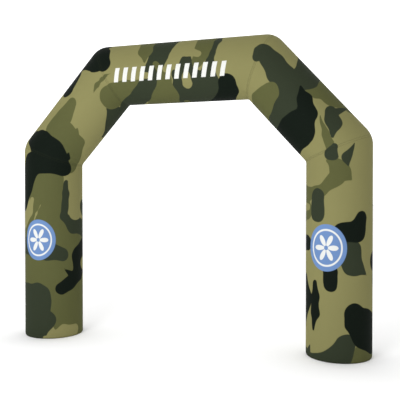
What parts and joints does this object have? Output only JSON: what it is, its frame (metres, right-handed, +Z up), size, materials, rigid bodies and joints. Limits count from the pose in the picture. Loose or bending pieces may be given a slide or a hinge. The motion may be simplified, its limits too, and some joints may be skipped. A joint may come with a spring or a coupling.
{
  "type": "inflatable arch",
  "caption": "Free-standing inflatable entrance arch of mitred air tubes in camouflage cloth: upright legs, slanting shoulders and a level crossbeam to walk under.",
  "frame": {"origin": "on the ground, midway between the two legs", "axes": "+X runs across the arch from the left leg to the right one as seen from the front, +Y runs through the arch away from the front, +Z up"},
  "size_m": [6.006, 1.006, 5.033],
  "materials": {
    "printed_cloth": "coated polyester cloth with a four-colour camouflage print, low sheen",
    "floor_cloth": "heavy dark coated cloth, matt"
  },
  "bodies": {
    "root": {"leg_left": "printed_cloth", "leg_right": "printed_cloth", "shoulder_left": "printed_cloth", "shoulder_right": "printed_cloth", "crossbeam": "printed_cloth", "base_left": "floor_cloth", "base_right": "floor_cloth"}
  },
  "joints": []
}
